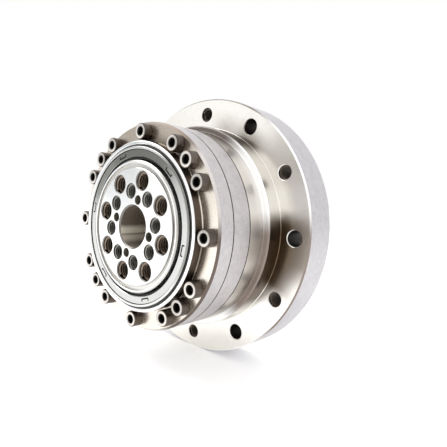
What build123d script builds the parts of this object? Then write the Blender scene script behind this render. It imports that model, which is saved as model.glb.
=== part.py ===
from build123d import *
import os
from math import cos, pi, radians, sin, sqrt, tan

# A strain wave gear unit: a toothed cup, bent oval by a wave generator, drives a flange on a crossed
# roller bearing. Lengths are millimetres. The model is drawn with the gear axis along Z, and a station
# is a height on that axis, counted from the mounting face at the motor side towards the output face.

# Output flange, from its bore outwards: each step is the distance to the next circle
output_bore_r = 7.0
dowel_step = 2.4
cup_bolt_step = 2.6
output_thread_step = 4.0
boss_edge = 3.9
face_groove_width = 1.4
face_rim_width = 1.0
output_proud = 4.3
output_thickness = 17.4
output_bore_chamfer = 0.6
face_groove_depth = 1.0
edge_chamfer = 0.3
output_hole_count = 8
output_thread_r = 3.0
output_thread_depth = 12.0
output_thread_angle = 30.0
output_thread_chamfer = 0.35

# Shaft seal and the lip of the front ring around it
seal_section = 5.2
seal_depth = 4.6
lip_height = 3.5
lip_wall = 1.2
lip_root = 0.4
seal_face_proud = 0.4
seal_face_gap = 1.1
seal_band = 2.4
seal_coat = 0.65
seal_sheet = 0.6
seal_step = 0.35
seal_edge = 0.2
seal_mark_count = 6
seal_mark_length = 2.9
seal_mark_width = 1.1
seal_mark_depth = 0.25
seal_mark_angle = 49.0
garter_spring_r = 0.5

# Crossed roller bearing
seal_to_rollers = 1.5
rear_ring_thickness = 8.0
front_ring_thickness = 6.3
front_ring_chamfer = 0.7
ring_edge = 3.6
roller_side = 4.0
roller_play = 0.05
roller_end_play = 0.1
roller_count = 30
ring_gap = 0.8
spacer_thickness = 1.0
spacer_width = 3.3

# Mounting housing
cavity_step = 1.8
shoulder_step = 2.2
shoulder_length = 6.8
neck_length = 7.3
flange_thickness = 13.7
flange_chamfer = 0.6
recess_wall = 2.7
recess_depth = 14.0
pilot_step = 1.0
pilot_chamfer = 0.4
seam_chamfer = 0.25

# Holes of the mounting flange
mounting_step = 5.4
flange_edge = 5.9
mounting_hole_count = 6
mounting_hole_r = 2.75
mounting_thread_r = 2.5
mounting_hole_chamfer = 0.35

# Flexspline joint
cup_bolt_angle = 7.5
cup_bolt_length = 16.0
dowel_count = 4
dowel_angle = 75.0
dowel_r = 1.5
dowel_length = 16.0
cup_boss_edge = 4.2
cup_boss_thickness = 3.5
cup_bore_gap = 0.3
cup_wall = 0.4
cup_floor = 0.8
cup_corner_r = 2.6
clamp_ring_thickness = 3.0

# Teeth and wave generator
pitch_step = 0.5
cup_teeth = 100
extra_teeth = 2
tooth_tip = 0.35
tooth_root = 0.45
tooth_backlash = 0.05
tooth_flank = 30.0
tooth_length = 10.0
spline_thickness = 11.0
rim_thickness = 0.55
race_width = 7.0
race_shoulder = 0.4
outer_race_wall = 0.9
inner_race_wall = 1.15
ball_r = 1.6
ball_count = 23
cage_thickness = 1.4
cage_rim = 1.2
plug_length = 8.0
plug_bore_gap = 0.3
pocket_wall = 4.05
pocket_depth = 4.2
coupling_width = 4.7
lug_width = 5.0
lug_reach = 2.2
oldham_play = 0.1
hub_bore_r = 4.5
hub_tail = 1.4
hub_chamfer = 0.4
keyway_width = 3.0
keyway_depth = 1.4
snap_ring_thickness = 0.8
snap_ring_grip = 0.6
snap_ring_rim = 1.6
snap_ring_opening = 24.0
rub_plate_thickness = 0.8
rub_plate_step = 1.6
rub_screw_step = 1.9
rub_screw_count = 4
rub_screw_r = 0.75
rub_screw_length = 4.0
rub_screw_head_r = 1.3
rub_screw_head = 0.7

# Screws and O-rings
m3_r = 1.5
m3_head_r = 2.75
m3_head = 3.0
m3_hex = 2.5
m3_hex_depth = 1.5
m5_r = 2.5
m5_head_r = 4.25
m5_head = 5.0
m5_hex = 4.0
m5_hex_depth = 2.5
screw_edge = 0.3
flange_screw_length = 20.0
spline_screw_step = 4.0
spline_screw_count = 12
spline_screw_length = 10.0
spline_screw_sink = 3.4
hole_run_out = 1.5
cord_r = 0.6
body_cord_step = 1.4
mounting_cord_step = 2.0

# Clearances
fit_gap = 0.05
thread_gap = 0.05
screw_gap = 0.2
cord_gap = 0.05
ball_gap = 0.02
cut = 1.0

# Radii of the output flange and its seal
dowel_circle_r = output_bore_r + dowel_step
cup_bolt_circle_r = dowel_circle_r + cup_bolt_step
output_thread_circle_r = cup_bolt_circle_r + output_thread_step
boss_r = output_thread_circle_r + boss_edge
face_rim_r = boss_r + face_groove_width
seal_land_r = face_rim_r + face_rim_width
seal_bore_r = seal_land_r + seal_section
seal_face_inner_r = seal_land_r + seal_face_gap
seal_step_r = seal_face_inner_r + seal_band
cup_boss_r = cup_bolt_circle_r + cup_boss_edge
cup_bore_r = output_bore_r + cup_bore_gap

# Radii of the bearing and the housing
roller_circle_r = seal_bore_r - seal_to_rollers
lip_r = seal_bore_r + lip_wall
flange_screw_circle_r = lip_r + lip_root + fit_gap + m3_head_r
body_r = flange_screw_circle_r + ring_edge
cavity_r = roller_circle_r + cavity_step
body_cord_circle_r = cavity_r + body_cord_step
shoulder_r = body_r + shoulder_step
recess_r = shoulder_r - recess_wall
pilot_r = recess_r + pilot_step
spline_screw_circle_r = recess_r - spline_screw_step
mounting_cord_circle_r = pilot_r + mounting_cord_step
mounting_circle_r = shoulder_r + mounting_step
flange_r = mounting_circle_r + flange_edge

# Stations along the gear axis
shoulder_front = flange_thickness + shoulder_length
housing_front = shoulder_front + neck_length
split = housing_front + rear_ring_thickness
ring_face = split + front_ring_thickness
output_face = ring_face + output_proud
output_rear = output_face - output_thickness
seal_floor = ring_face + lip_height - seal_depth
seal_face = output_face - seal_face_proud
cup_boss_rear = output_rear - cup_boss_thickness
clamp_rear = cup_boss_rear - clamp_ring_thickness
spline_rear = recess_depth - spline_thickness
tooth_rear = spline_rear + (spline_thickness - tooth_length) / 2
tooth_front = tooth_rear + tooth_length
race_rear = tooth_rear + (tooth_length - race_width) / 2
race_middle = race_rear + race_width / 2
plug_rear = race_middle - plug_length / 2
plug_front = race_middle + plug_length / 2
pocket_floor = plug_front - pocket_depth

# Teeth, and radii of the cup and the wave generator before the oval bends them
spline_pitch_r = roller_circle_r - pitch_step
module = 2 * spline_pitch_r / (cup_teeth + extra_teeth)
cup_pitch_r = module * cup_teeth / 2
wave_rise = spline_pitch_r - cup_pitch_r
rim_inner_r = cup_pitch_r - tooth_root - rim_thickness
race_outer_r = rim_inner_r - fit_gap
ball_circle_r = race_outer_r - outer_race_wall - ball_r
race_inner_r = ball_circle_r - ball_r - inner_race_wall
plug_r = race_inner_r - fit_gap
pocket_r = plug_r - pocket_wall
hub_r = pocket_r - coupling_width
plug_bore_r = hub_r + plug_bore_gap
rub_plate_inner_r = hub_r + rub_plate_step
rub_screw_circle_r = pocket_r + rub_screw_step

# V-grooves of the crossed roller bearing
groove_half = roller_side / sqrt(2)
ring_bore_r = roller_circle_r + ring_gap / 2
inner_ring_r = roller_circle_r - ring_gap / 2
groove_mouth = groove_half - ring_gap / 2


def turned(*profile):
    """Solid turned about the gear axis from a half section of (radius, station) points."""
    return revolve(Plane.XZ * make_face(Polyline(*profile, close=True)), Axis.Z)


def even_angles(count, start=0.0):
    """Angles of an evenly spaced pattern, in degrees."""
    return [start + 360.0 * step / count for step in range(count)]


def flange_screw_angles():
    """Angles of the front screws: one alone on each axis, and three together between the axes."""
    return [90.0 * quarter + angle for quarter in range(4) for angle in (0.0, 30.0, 45.0, 60.0)]


def around(shape, radius, angles):
    """Copies of a shape at each angle of a circle about the gear axis."""
    return [Rot(0, 0, angle) * Pos(radius, 0, 0) * shape for angle in angles]


def group(shapes):
    """One node of separate solids."""
    return Compound([solid for shape in shapes for solid in shape.solids()])


def through_hole(radius, low, high, mouth):
    """Drill shape past both faces, with a countersink at each."""
    wide = radius + mouth + cut
    return turned(
        (0, low - cut), (wide, low - cut), (radius, low + mouth),
        (radius, high - mouth), (wide, high + cut), (0, high + cut),
    )


def blind_hole(radius, floor, face, mouth=0.0):
    """Drill shape from a pointed floor out through a face, on either side of it."""
    side = 1 if face > floor else -1
    countersink = [(radius, face - side * mouth)] if mouth else []
    return turned(
        (0, floor - side * radius / 2), (radius, floor), *countersink,
        (radius + mouth, face), (radius + mouth, face + side * cut), (0, face + side * cut),
    )


def cap_screw(thread_r, head_r, head, hexagon, hex_depth, length):
    """Socket head cap screw, seated at height 0 with its head upwards."""
    body = turned(
        (0, -length), (thread_r - screw_edge, -length), (thread_r, screw_edge - length),
        (thread_r, 0), (head_r, 0), (head_r, head - screw_edge), (head_r - screw_edge, head), (0, head),
    )
    socket = extrude(RegularPolygon(hexagon / 2, 6, major_radius=False), hex_depth + cut)
    return body - Pos(0, 0, head - hex_depth) * socket


def m3_screw(length):
    """M3 socket head cap screw."""
    return cap_screw(m3_r, m3_head_r, m3_head, m3_hex, m3_hex_depth, length)


def m5_screw(length):
    """M5 socket head cap screw."""
    return cap_screw(m5_r, m5_head_r, m5_head, m5_hex, m5_hex_depth, length)


def cord_groove(circle_r, face, side):
    """Cutter for an O-ring groove in a flat face, whose material lies on the given side."""
    floor = face + side * (2 * cord_r + cord_gap)
    low, high = sorted((floor, face - side * cut))
    inner = circle_r - cord_r - cord_gap
    outer = circle_r + cord_r + cord_gap
    return turned((inner, low), (outer, low), (outer, high), (inner, high))


def o_ring(circle_r, face, side):
    """O-ring lying in its groove."""
    return Pos(0, 0, face + side * (cord_r + cord_gap / 2)) * Torus(circle_r, cord_r)


def mounting_housing():
    """Flanged housing with its stepped neck, motor pilot, rear recess and bolt holes."""
    body = turned(
        (pilot_r + pilot_chamfer, 0), (flange_r - flange_chamfer, 0), (flange_r, flange_chamfer),
        (flange_r, flange_thickness - flange_chamfer), (flange_r - flange_chamfer, flange_thickness),
        (shoulder_r, flange_thickness), (shoulder_r, shoulder_front - seam_chamfer),
        (shoulder_r - seam_chamfer, shoulder_front), (body_r, shoulder_front),
        (body_r, housing_front - seam_chamfer), (body_r - seam_chamfer, housing_front),
        (cavity_r, housing_front), (cavity_r, recess_depth), (recess_r, recess_depth),
        (recess_r, spline_rear), (pilot_r, spline_rear), (pilot_r, pilot_chamfer),
    )
    clear = through_hole(mounting_hole_r, 0, flange_thickness, mounting_hole_chamfer)
    tapped = through_hole(mounting_thread_r, 0, flange_thickness, mounting_hole_chamfer)
    half_pitch = 180.0 / mounting_hole_count
    holes = around(clear, mounting_circle_r, even_angles(mounting_hole_count))
    holes += around(tapped, mounting_circle_r, even_angles(mounting_hole_count, half_pitch))
    screw_end = ring_face - flange_screw_length - hole_run_out
    front = blind_hole(m3_r + thread_gap, screw_end, housing_front)
    holes += around(front, flange_screw_circle_r, flange_screw_angles())
    spline_end = spline_rear + spline_screw_sink + spline_screw_length + hole_run_out
    rear = blind_hole(m3_r + thread_gap, spline_end, recess_depth)
    holes += around(rear, spline_screw_circle_r, spline_screw_angles())
    grooves = [cord_groove(body_cord_circle_r, housing_front, -1)]
    grooves += [cord_groove(mounting_cord_circle_r, 0, 1)]
    return body - holes - grooves


def spline_screw_angles():
    """Angles of the screws that hold the circular spline."""
    return even_angles(spline_screw_count, 180.0 / spline_screw_count)


def tooth_outline(count, pitch_r, inward, first, rise):
    """Face bounded by straight-flanked teeth, bent oval by the given rise."""
    side_width = pi * module / 4 - tooth_backlash
    corners = ((-tooth_root, -1), (tooth_tip, -1), (tooth_tip, 1), (-tooth_root, 1))
    points = []
    for tooth in range(count):
        centre = 2 * pi * (tooth + first) / count
        for height, side in corners:
            half_width = side_width - height * tan(radians(tooth_flank))
            angle = centre + side * half_width / pitch_r
            radius = pitch_r - height if inward else pitch_r + height
            radius += rise * cos(2 * angle)
            angle -= rise / 2 * sin(2 * angle) / pitch_r
            points.append((radius * cos(angle), radius * sin(angle)))
    return make_face(Polyline(*points, close=True))


def circular_spline():
    """Rigid ring with internal teeth, two more than the cup has."""
    rim = Circle(recess_r - fit_gap)
    teeth = tooth_outline(cup_teeth + extra_teeth, spline_pitch_r, True, 0.5, 0.0)
    ring = Pos(0, 0, spline_rear) * extrude(rim - teeth, spline_thickness)
    seat = spline_rear + spline_screw_sink
    shank = Pos(0, 0, recess_depth) * Cylinder(m3_r + screw_gap, 2 * spline_thickness)
    below = (Align.CENTER, Align.CENTER, Align.MAX)
    sink = Pos(0, 0, seat) * Cylinder(m3_head_r + screw_gap, spline_screw_sink + cut, align=below)
    angles = spline_screw_angles()
    return ring - around(shank, spline_screw_circle_r, angles) - around(sink, spline_screw_circle_r, angles)


def circular_spline_screws():
    """Screws that hold the circular spline in the housing, put in from the motor side."""
    screw = Pos(0, 0, spline_rear + spline_screw_sink) * Rot(180, 0, 0) * m3_screw(spline_screw_length)
    return group(around(screw, spline_screw_circle_r, spline_screw_angles()))


def bearing_rear_ring():
    """Rear half of the split outer bearing ring."""
    ring = turned(
        (roller_circle_r + groove_half, split), (ring_bore_r, split - groove_mouth),
        (ring_bore_r, housing_front), (body_r - seam_chamfer, housing_front),
        (body_r, housing_front + seam_chamfer), (body_r, split - seam_chamfer),
        (body_r - seam_chamfer, split),
    )
    hole = Pos(0, 0, split) * Cylinder(m3_r + screw_gap, 3 * rear_ring_thickness)
    return ring - around(hole, flange_screw_circle_r, flange_screw_angles())


def bearing_front_ring():
    """Front half of the split outer bearing ring, with the lip that holds the seal."""
    lip_face = ring_face + lip_height
    ring = turned(
        (roller_circle_r + groove_half, split), (body_r - seam_chamfer, split),
        (body_r, split + seam_chamfer), (body_r, ring_face - front_ring_chamfer),
        (body_r - front_ring_chamfer, ring_face), (lip_r + lip_root, ring_face),
        (lip_r, ring_face + lip_root), (lip_r, lip_face - edge_chamfer),
        (lip_r - edge_chamfer, lip_face), (seal_bore_r + edge_chamfer, lip_face),
        (seal_bore_r, lip_face - edge_chamfer), (seal_bore_r, seal_floor),
        (ring_bore_r, seal_floor), (ring_bore_r, split + groove_mouth),
    )
    hole = Pos(0, 0, split) * Cylinder(m3_r + screw_gap, 3 * front_ring_thickness)
    return ring - around(hole, flange_screw_circle_r, flange_screw_angles())


def flange_screws():
    """Front screws, which clamp both halves of the outer ring to the housing."""
    screw = Pos(0, 0, ring_face) * m3_screw(flange_screw_length)
    return group(around(screw, flange_screw_circle_r, flange_screw_angles()))


def seal_case():
    """Steel case of the shaft seal: a stepped face on a sleeve, with marks pressed into it."""
    outer = seal_bore_r - seal_coat
    band_face = seal_face - seal_step
    joggle_r = seal_step_r + seal_sheet / 2
    case = turned(
        (seal_face_inner_r, band_face - seal_edge), (seal_face_inner_r + seal_edge, band_face),
        (seal_step_r, band_face), (seal_step_r, seal_face), (outer - edge_chamfer, seal_face),
        (outer, seal_face - edge_chamfer), (outer, seal_floor + 2 * seal_sheet),
        (outer - seal_sheet, seal_floor + 2 * seal_sheet), (outer - seal_sheet, seal_face - seal_sheet),
        (joggle_r, seal_face - seal_sheet), (joggle_r, band_face - seal_sheet),
        (seal_face_inner_r, band_face - seal_sheet),
    )
    mark = Box(seal_mark_width, seal_mark_length, 2 * seal_mark_depth)
    angles = even_angles(seal_mark_count, seal_mark_angle)
    mark_r = (seal_face_inner_r + seal_step_r) / 2
    return case - around(Pos(0, 0, band_face) * mark, mark_r, angles)


def seal_lip():
    """Rubber of the shaft seal: the coat in the bore, the web and the lip on the output flange."""
    coat_r = seal_bore_r - fit_gap
    inside = seal_bore_r - seal_coat + fit_gap
    tip_r = seal_land_r + fit_gap
    floor = seal_floor + seal_sheet / 3
    web = floor + seal_sheet
    spring = garter_station()
    nest = garter_circle() - garter_spring_r - fit_gap
    return turned(
        (coat_r, floor), (coat_r, seal_face - seal_sheet), (inside, seal_face - seal_sheet),
        (inside, web), (nest + 2 * garter_spring_r, web), (nest, spring - garter_spring_r),
        (nest, spring + garter_spring_r), (nest + garter_spring_r / 2, spring + 2 * garter_spring_r),
        (tip_r + garter_spring_r, spring + 2.6 * garter_spring_r), (tip_r, spring), (nest, floor),
    )


def garter_station():
    """Station of the garter spring's centre."""
    return (seal_floor + seal_face) / 2


def garter_circle():
    """Radius of the garter spring's centre line."""
    return seal_land_r + 3.6 * garter_spring_r


def seal_garter_spring():
    """Garter spring that presses the seal's lip on the output flange."""
    return Pos(0, 0, garter_station()) * Torus(garter_circle(), garter_spring_r)


def output_flange():
    """Output flange, which is the inner ring of the bearing, with its bore and bolt circles."""
    groove_floor = output_face - face_groove_depth
    shoulder = seal_floor - ring_gap
    body = turned(
        (output_bore_r + output_bore_chamfer, output_face), (boss_r - edge_chamfer, output_face),
        (boss_r, output_face - edge_chamfer), (boss_r, groove_floor), (face_rim_r, groove_floor),
        (face_rim_r, output_face), (seal_land_r - edge_chamfer, output_face),
        (seal_land_r, output_face - edge_chamfer), (seal_land_r, shoulder), (inner_ring_r, shoulder),
        (inner_ring_r, split + groove_mouth), (roller_circle_r - groove_half, split),
        (inner_ring_r, split - groove_mouth), (inner_ring_r, output_rear + edge_chamfer),
        (inner_ring_r - edge_chamfer, output_rear), (output_bore_r + output_bore_chamfer, output_rear),
        (output_bore_r, output_rear + output_bore_chamfer),
        (output_bore_r, output_face - output_bore_chamfer),
    )
    floor = output_face - output_thread_depth
    tapped = blind_hole(output_thread_r, floor, output_face, output_thread_chamfer)
    bolt = Pos(0, 0, output_face) * Cylinder(m5_r + thread_gap, 3 * output_thickness)
    pin = Pos(0, 0, output_face) * Cylinder(dowel_r + ball_gap, 3 * output_thickness)
    holes = around(tapped, output_thread_circle_r, even_angles(output_hole_count, output_thread_angle))
    holes += around(bolt, cup_bolt_circle_r, even_angles(output_hole_count, cup_bolt_angle))
    holes += around(pin, dowel_circle_r, even_angles(dowel_count, dowel_angle))
    return body - holes


def oval(base_r, rise=None):
    """Face of the oval that the wave generator gives a ring of the stated radius."""
    return make_face(oval_line(base_r, wave_rise if rise is None else rise))


def oval_line(base_r, rise, steps=48):
    """Closed curve of an oval: the base radius with a rise that comes twice in a turn."""
    turns = [2 * pi * step / steps for step in range(steps)]
    radii = [base_r + rise * cos(2 * turn) for turn in turns]
    return Spline(*[(r * cos(turn), r * sin(turn)) for r, turn in zip(radii, turns)], periodic=True)


def oval_tube(outer_r, inner_r, low, high):
    """Oval ring between two stations."""
    return Pos(0, 0, low) * extrude(oval(outer_r) - oval(inner_r), high - low)


def cone_of_ovals(rim_r, far_r, far_station):
    """Solid from the oval at the teeth to a circle at a station near the boss."""
    near = Pos(0, 0, tooth_front) * oval(rim_r)
    far = Pos(0, 0, far_station) * oval(far_r, 0)
    return loft([near, far], ruled=True)


def flexspline():
    """Thin cup whose open rim carries the outer teeth, bent oval there and round at its boss."""
    wall_r = rim_inner_r + cup_wall
    bend = output_rear - cup_boss_thickness / 3 - cup_corner_r
    teeth = tooth_outline(cup_teeth, cup_pitch_r, False, 0.0, wave_rise) - oval(rim_inner_r)
    rim = Pos(0, 0, tooth_rear) * extrude(teeth, tooth_length)
    skin = (rim_thickness - cup_wall) / 3
    wall = cone_of_ovals(wall_r + skin, wall_r, bend) - cone_of_ovals(rim_inner_r + skin, rim_inner_r, bend)
    top = bend + cup_corner_r
    inner_r = rim_inner_r - skin
    outer_r = wall_r + skin
    boss_rear = output_rear - cup_boss_thickness
    end = turned(
        (cup_bore_r, output_rear), (cup_bore_r, boss_rear), (cup_boss_r, boss_rear),
        (cup_boss_r + cup_wall, top - cup_floor - cup_wall), (cup_boss_r + 2 * cup_floor, top - cup_floor),
        (outer_r - cup_corner_r, top - cup_floor), (inner_r, top - cup_corner_r + cup_wall), (inner_r, bend),
        (outer_r, bend), (outer_r, bend + cup_wall), (outer_r - cup_corner_r / 3, top - cup_corner_r / 3),
        (outer_r - cup_corner_r, top), (cup_boss_r + cup_floor, top), (cup_boss_r, output_rear),
    )
    cup = rim + wall + end
    middle = (output_rear + boss_rear) / 2
    bolt = Pos(0, 0, middle) * Cylinder(m5_r + screw_gap, 2 * cup_boss_thickness)
    pin = Pos(0, 0, middle) * Cylinder(dowel_r + ball_gap, 2 * cup_boss_thickness)
    cup -= around(bolt, cup_bolt_circle_r, even_angles(output_hole_count, cup_bolt_angle))
    return cup - around(pin, dowel_circle_r, even_angles(dowel_count, dowel_angle))


def flexspline_clamp_ring():
    """Ring under the bolt heads, which clamps the cup's boss to the output flange."""
    rim = cup_boss_r - edge_chamfer
    ring = turned(
        (cup_bore_r, clamp_rear), (rim, clamp_rear), (cup_boss_r, clamp_rear + edge_chamfer),
        (cup_boss_r, cup_boss_rear), (cup_bore_r, cup_boss_rear),
    )
    hole = Pos(0, 0, clamp_rear) * Cylinder(m5_r + screw_gap, 3 * clamp_ring_thickness)
    return ring - around(hole, cup_bolt_circle_r, even_angles(output_hole_count, cup_bolt_angle))


def flexspline_bolts():
    """Bolts from inside the cup into the output flange."""
    bolt = Pos(0, 0, clamp_rear) * Rot(180, 0, 0) * m5_screw(cup_bolt_length)
    return group(around(bolt, cup_bolt_circle_r, even_angles(output_hole_count, cup_bolt_angle)))


def dowel_pins():
    """Pins that share the torque between the cup and the output flange."""
    pin = turned(
        (0, cup_boss_rear), (dowel_r, cup_boss_rear), (dowel_r, cup_boss_rear + dowel_length - edge_chamfer),
        (dowel_r - edge_chamfer, cup_boss_rear + dowel_length), (0, cup_boss_rear + dowel_length),
    )
    return group(around(pin, dowel_circle_r, even_angles(dowel_count, dowel_angle)))


def cross_rollers():
    """Rollers in the V-groove, each turned a right angle to the next."""
    roller = Cylinder(roller_side / 2 - roller_play, roller_side - 2 * roller_end_play)
    tilts = [Rot(0, 45, 0), Rot(0, -45, 0)]
    angles = even_angles(roller_count)
    rollers = []
    for place, angle in enumerate(angles):
        rollers += around(Pos(0, 0, split) * tilts[place % 2] * roller, roller_circle_r, [angle])
    return group(rollers)


def roller_spacers():
    """Spacers between the rollers."""
    spacer = Rot(0, 45, 0) * Box(spacer_width, spacer_thickness, spacer_width)
    angles = even_angles(roller_count, 180.0 / roller_count)
    return group(around(Pos(0, 0, split) * spacer, roller_circle_r, angles))


def ball_track():
    """Cutter for the ball tracks of the two races, which follows the oval."""
    path = oval_line(ball_circle_r, wave_rise)
    start = Plane(origin=path @ 0, x_dir=(0, 0, 1), z_dir=path % 0)
    track = sweep(start * Circle(ball_r + ball_gap), path=path)
    # The half turn keeps the track's seam clear of the seams of the races.
    return Pos(0, 0, race_middle) * Rot(0, 0, 180) * track


def wave_outer_race():
    """Thin outer race of the flexible bearing."""
    inner = race_outer_r - outer_race_wall - race_shoulder
    return oval_tube(race_outer_r, inner, race_rear, race_rear + race_width) - ball_track()


def wave_inner_race():
    """Inner race of the flexible bearing, pressed on the plug."""
    outer = race_inner_r + inner_race_wall + race_shoulder
    return oval_tube(outer, race_inner_r, race_rear, race_rear + race_width) - ball_track()


def ball_places():
    """Points of the balls' centres on their oval, with the angle of each."""
    places = []
    for angle in even_angles(ball_count):
        radius = ball_circle_r + wave_rise * cos(2 * radians(angle))
        places.append((radius, angle))
    return places


def wave_balls():
    """Balls of the flexible bearing."""
    ball = Pos(0, 0, race_middle) * Sphere(ball_r - ball_gap)
    balls = []
    for radius, angle in ball_places():
        balls += around(ball, radius, [angle])
    return group(balls)


def wave_cage():
    """Cage that spaces the balls."""
    low = race_rear + (race_width / 2 - ball_r - cage_rim)
    high = race_rear + race_width - (race_width / 2 - ball_r - cage_rim)
    ring = oval_tube(ball_circle_r + cage_thickness / 2, ball_circle_r - cage_thickness / 2, low, high)
    pocket = Pos(0, 0, race_middle) * Rot(0, 90, 0) * Cylinder(ball_r + 2 * fit_gap, 3 * ball_r)
    pockets = []
    for radius, angle in ball_places():
        pockets += around(pocket, radius, [angle])
    return ring - pockets


def slot(reach, width, low, high):
    """Straight bar across the axis, for the coupling's slots and lugs."""
    return Pos(0, 0, (low + high) / 2) * Box(2 * reach, width, high - low)


def wave_plug():
    """Oval plug of the wave generator, with the pocket and slots of its coupling."""
    body = Pos(0, 0, plug_rear) * extrude(oval(plug_r), plug_length)
    bore = Pos(0, 0, race_middle) * Cylinder(plug_bore_r, 2 * plug_length)
    upwards = (Align.CENTER, Align.CENTER, Align.MIN)
    pocket = Pos(0, 0, pocket_floor) * Cylinder(pocket_r, 2 * pocket_depth, align=upwards)
    grooves = slot(pocket_r + lug_reach, lug_width, pocket_floor, plug_front + cut)
    tapped = blind_hole(rub_screw_r + thread_gap, plug_front - rub_screw_length, plug_front)
    holes = around(tapped, rub_screw_circle_r, even_angles(rub_screw_count, 180.0 / rub_screw_count))
    return body - bore - pocket - grooves - holes


def oldham_ring():
    """Ring of the coupling, with lugs in the plug's slots and notches for the hub's lugs."""
    low = pocket_floor + oldham_play
    high = plug_front - oldham_play
    ring = Pos(0, 0, (low + high) / 2) * Cylinder(pocket_r - oldham_play, high - low)
    lugs = slot(pocket_r + lug_reach - oldham_play, lug_width - 2 * oldham_play, low, high)
    bore = Pos(0, 0, low) * Cylinder(hub_r + 3 * oldham_play, 4 * pocket_depth)
    notch = Rot(0, 0, 90) * slot(hub_r + lug_reach + oldham_play, lug_width, low - cut, high + cut)
    return ring + lugs - bore - notch


def input_hub():
    """Hub for the motor's shaft, with a keyway and two lugs for the coupling."""
    tail = plug_rear - hub_tail
    nose = plug_front - 2 * oldham_play
    hub = turned(
        (hub_bore_r + hub_chamfer, tail), (hub_r - hub_chamfer, tail), (hub_r, tail + hub_chamfer),
        (hub_r, nose), (hub_bore_r, nose), (hub_bore_r, tail + hub_chamfer),
    )
    low = pocket_floor + 2 * oldham_play
    reach = hub_r + lug_reach
    lugs = Rot(0, 0, 90) * slot(reach, lug_width - 2 * oldham_play, low, nose)
    lugs -= Pos(0, 0, low) * Cylinder(hub_r - lug_reach, 4 * plug_length)
    key_space = Box(hub_bore_r + 2 * keyway_depth, keyway_width, 4 * plug_length)
    keyway = Pos(hub_bore_r / 2, 0, race_middle) * key_space
    groove_low = plug_rear - snap_ring_thickness - 2 * fit_gap
    groove = turned(
        (hub_r - snap_ring_grip, groove_low), (hub_r + cut, groove_low), (hub_r + cut, plug_rear),
        (hub_r - snap_ring_grip, plug_rear),
    )
    return hub + lugs - keyway - groove


def hub_snap_ring():
    """Open spring ring that keeps the hub in the plug."""
    low = plug_rear - snap_ring_thickness - fit_gap
    high = plug_rear - fit_gap
    inner = hub_r - snap_ring_grip + fit_gap
    outer = hub_r + snap_ring_rim
    ring = turned((inner, low), (outer, low), (outer, high), (inner, high))
    spread = 2 * outer * sin(radians(snap_ring_opening / 2))
    return ring - Pos(outer, 0, plug_rear) * Box(2 * snap_ring_rim + 2 * snap_ring_grip + cut, spread, 4)


def rub_plate():
    """Plate that closes the coupling's pocket on the cup side."""
    high = plug_front + rub_plate_thickness
    outer = rub_screw_circle_r + rub_screw_head_r
    inner = rub_plate_inner_r
    plate = turned((inner, plug_front), (outer, plug_front), (outer, high), (inner, high))
    hole = Pos(0, 0, plug_front) * Cylinder(rub_screw_r + screw_gap, 4 * rub_plate_thickness)
    return plate - around(hole, rub_screw_circle_r, even_angles(rub_screw_count, 180.0 / rub_screw_count))


def rub_plate_screws():
    """Small pan head screws of the rub plate."""
    seat = plug_front + rub_plate_thickness
    tip = seat + rub_plate_thickness - rub_screw_length
    screw = turned(
        (0, tip), (rub_screw_r, tip),
        (rub_screw_r, seat), (rub_screw_head_r, seat), (rub_screw_head_r, seat + rub_screw_head / 2),
        (rub_screw_head_r / 2, seat + rub_screw_head), (0, seat + rub_screw_head),
    )
    angles = even_angles(rub_screw_count, 180.0 / rub_screw_count)
    return group(around(screw, rub_screw_circle_r, angles))


def body_o_ring():
    """O-ring between the rear bearing ring and the housing."""
    return o_ring(body_cord_circle_r, housing_front, -1)


def mounting_o_ring():
    """O-ring in the mounting face."""
    return o_ring(mounting_cord_circle_r, 0, 1)


pieces = (
    mounting_housing, circular_spline, circular_spline_screws, bearing_rear_ring, bearing_front_ring,
    flange_screws, seal_case, seal_lip, seal_garter_spring, body_o_ring, mounting_o_ring,
    output_flange, flexspline, flexspline_clamp_ring, flexspline_bolts, dowel_pins,
    cross_rollers, roller_spacers, wave_plug, wave_inner_race, wave_balls, wave_cage, wave_outer_race,
    oldham_ring, input_hub, hub_snap_ring, rub_plate, rub_plate_screws,
)

# The finished unit lies with its axis level: the output face looks along -Y, and the mounting face
# is at Y 0.
os.makedirs("parts", exist_ok=True)
for piece in pieces:
    export_step(Rot(90, 0, 0) * piece(), f"parts/{piece.__name__}.step")
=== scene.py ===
"""Looks of a strain wave gear unit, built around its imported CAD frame.

Stations are millimetres along the gear axis, from the mounting face at 0 towards the output face, as the
CAD has them. Meshes are in metres in the row frame, where the output face looks along -Y.
"""

import logging
import math
from dataclasses import dataclass, field
from enum import Enum
from typing import Callable, Iterable, Sequence

import bmesh
import bpy
from mathutils import Matrix, Vector
from mathutils.geometry import tessellate_polygon


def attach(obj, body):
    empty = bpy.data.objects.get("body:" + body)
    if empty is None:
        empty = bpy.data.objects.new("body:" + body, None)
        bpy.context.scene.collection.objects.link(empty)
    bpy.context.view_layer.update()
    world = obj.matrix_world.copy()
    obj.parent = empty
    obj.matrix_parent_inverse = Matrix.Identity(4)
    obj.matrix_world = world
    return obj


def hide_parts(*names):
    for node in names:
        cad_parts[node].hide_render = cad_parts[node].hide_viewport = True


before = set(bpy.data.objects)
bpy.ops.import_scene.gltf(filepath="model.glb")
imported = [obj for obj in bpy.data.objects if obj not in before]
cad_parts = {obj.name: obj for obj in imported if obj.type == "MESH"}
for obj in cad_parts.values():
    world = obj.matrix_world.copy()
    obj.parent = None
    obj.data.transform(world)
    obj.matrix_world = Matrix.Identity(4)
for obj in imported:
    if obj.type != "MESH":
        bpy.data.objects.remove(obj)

log = logging.getLogger("strain_wave_gear")

MM = 0.001
SHARP_EDGE = math.radians(28.0)

# Corners that are closer than this are one, in metres. Stations that count as the same and radii that do, in
# millimetres.
WELD = 1e-7
SAME_LEVEL = 1e-4
NEAR = 0.01

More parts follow.
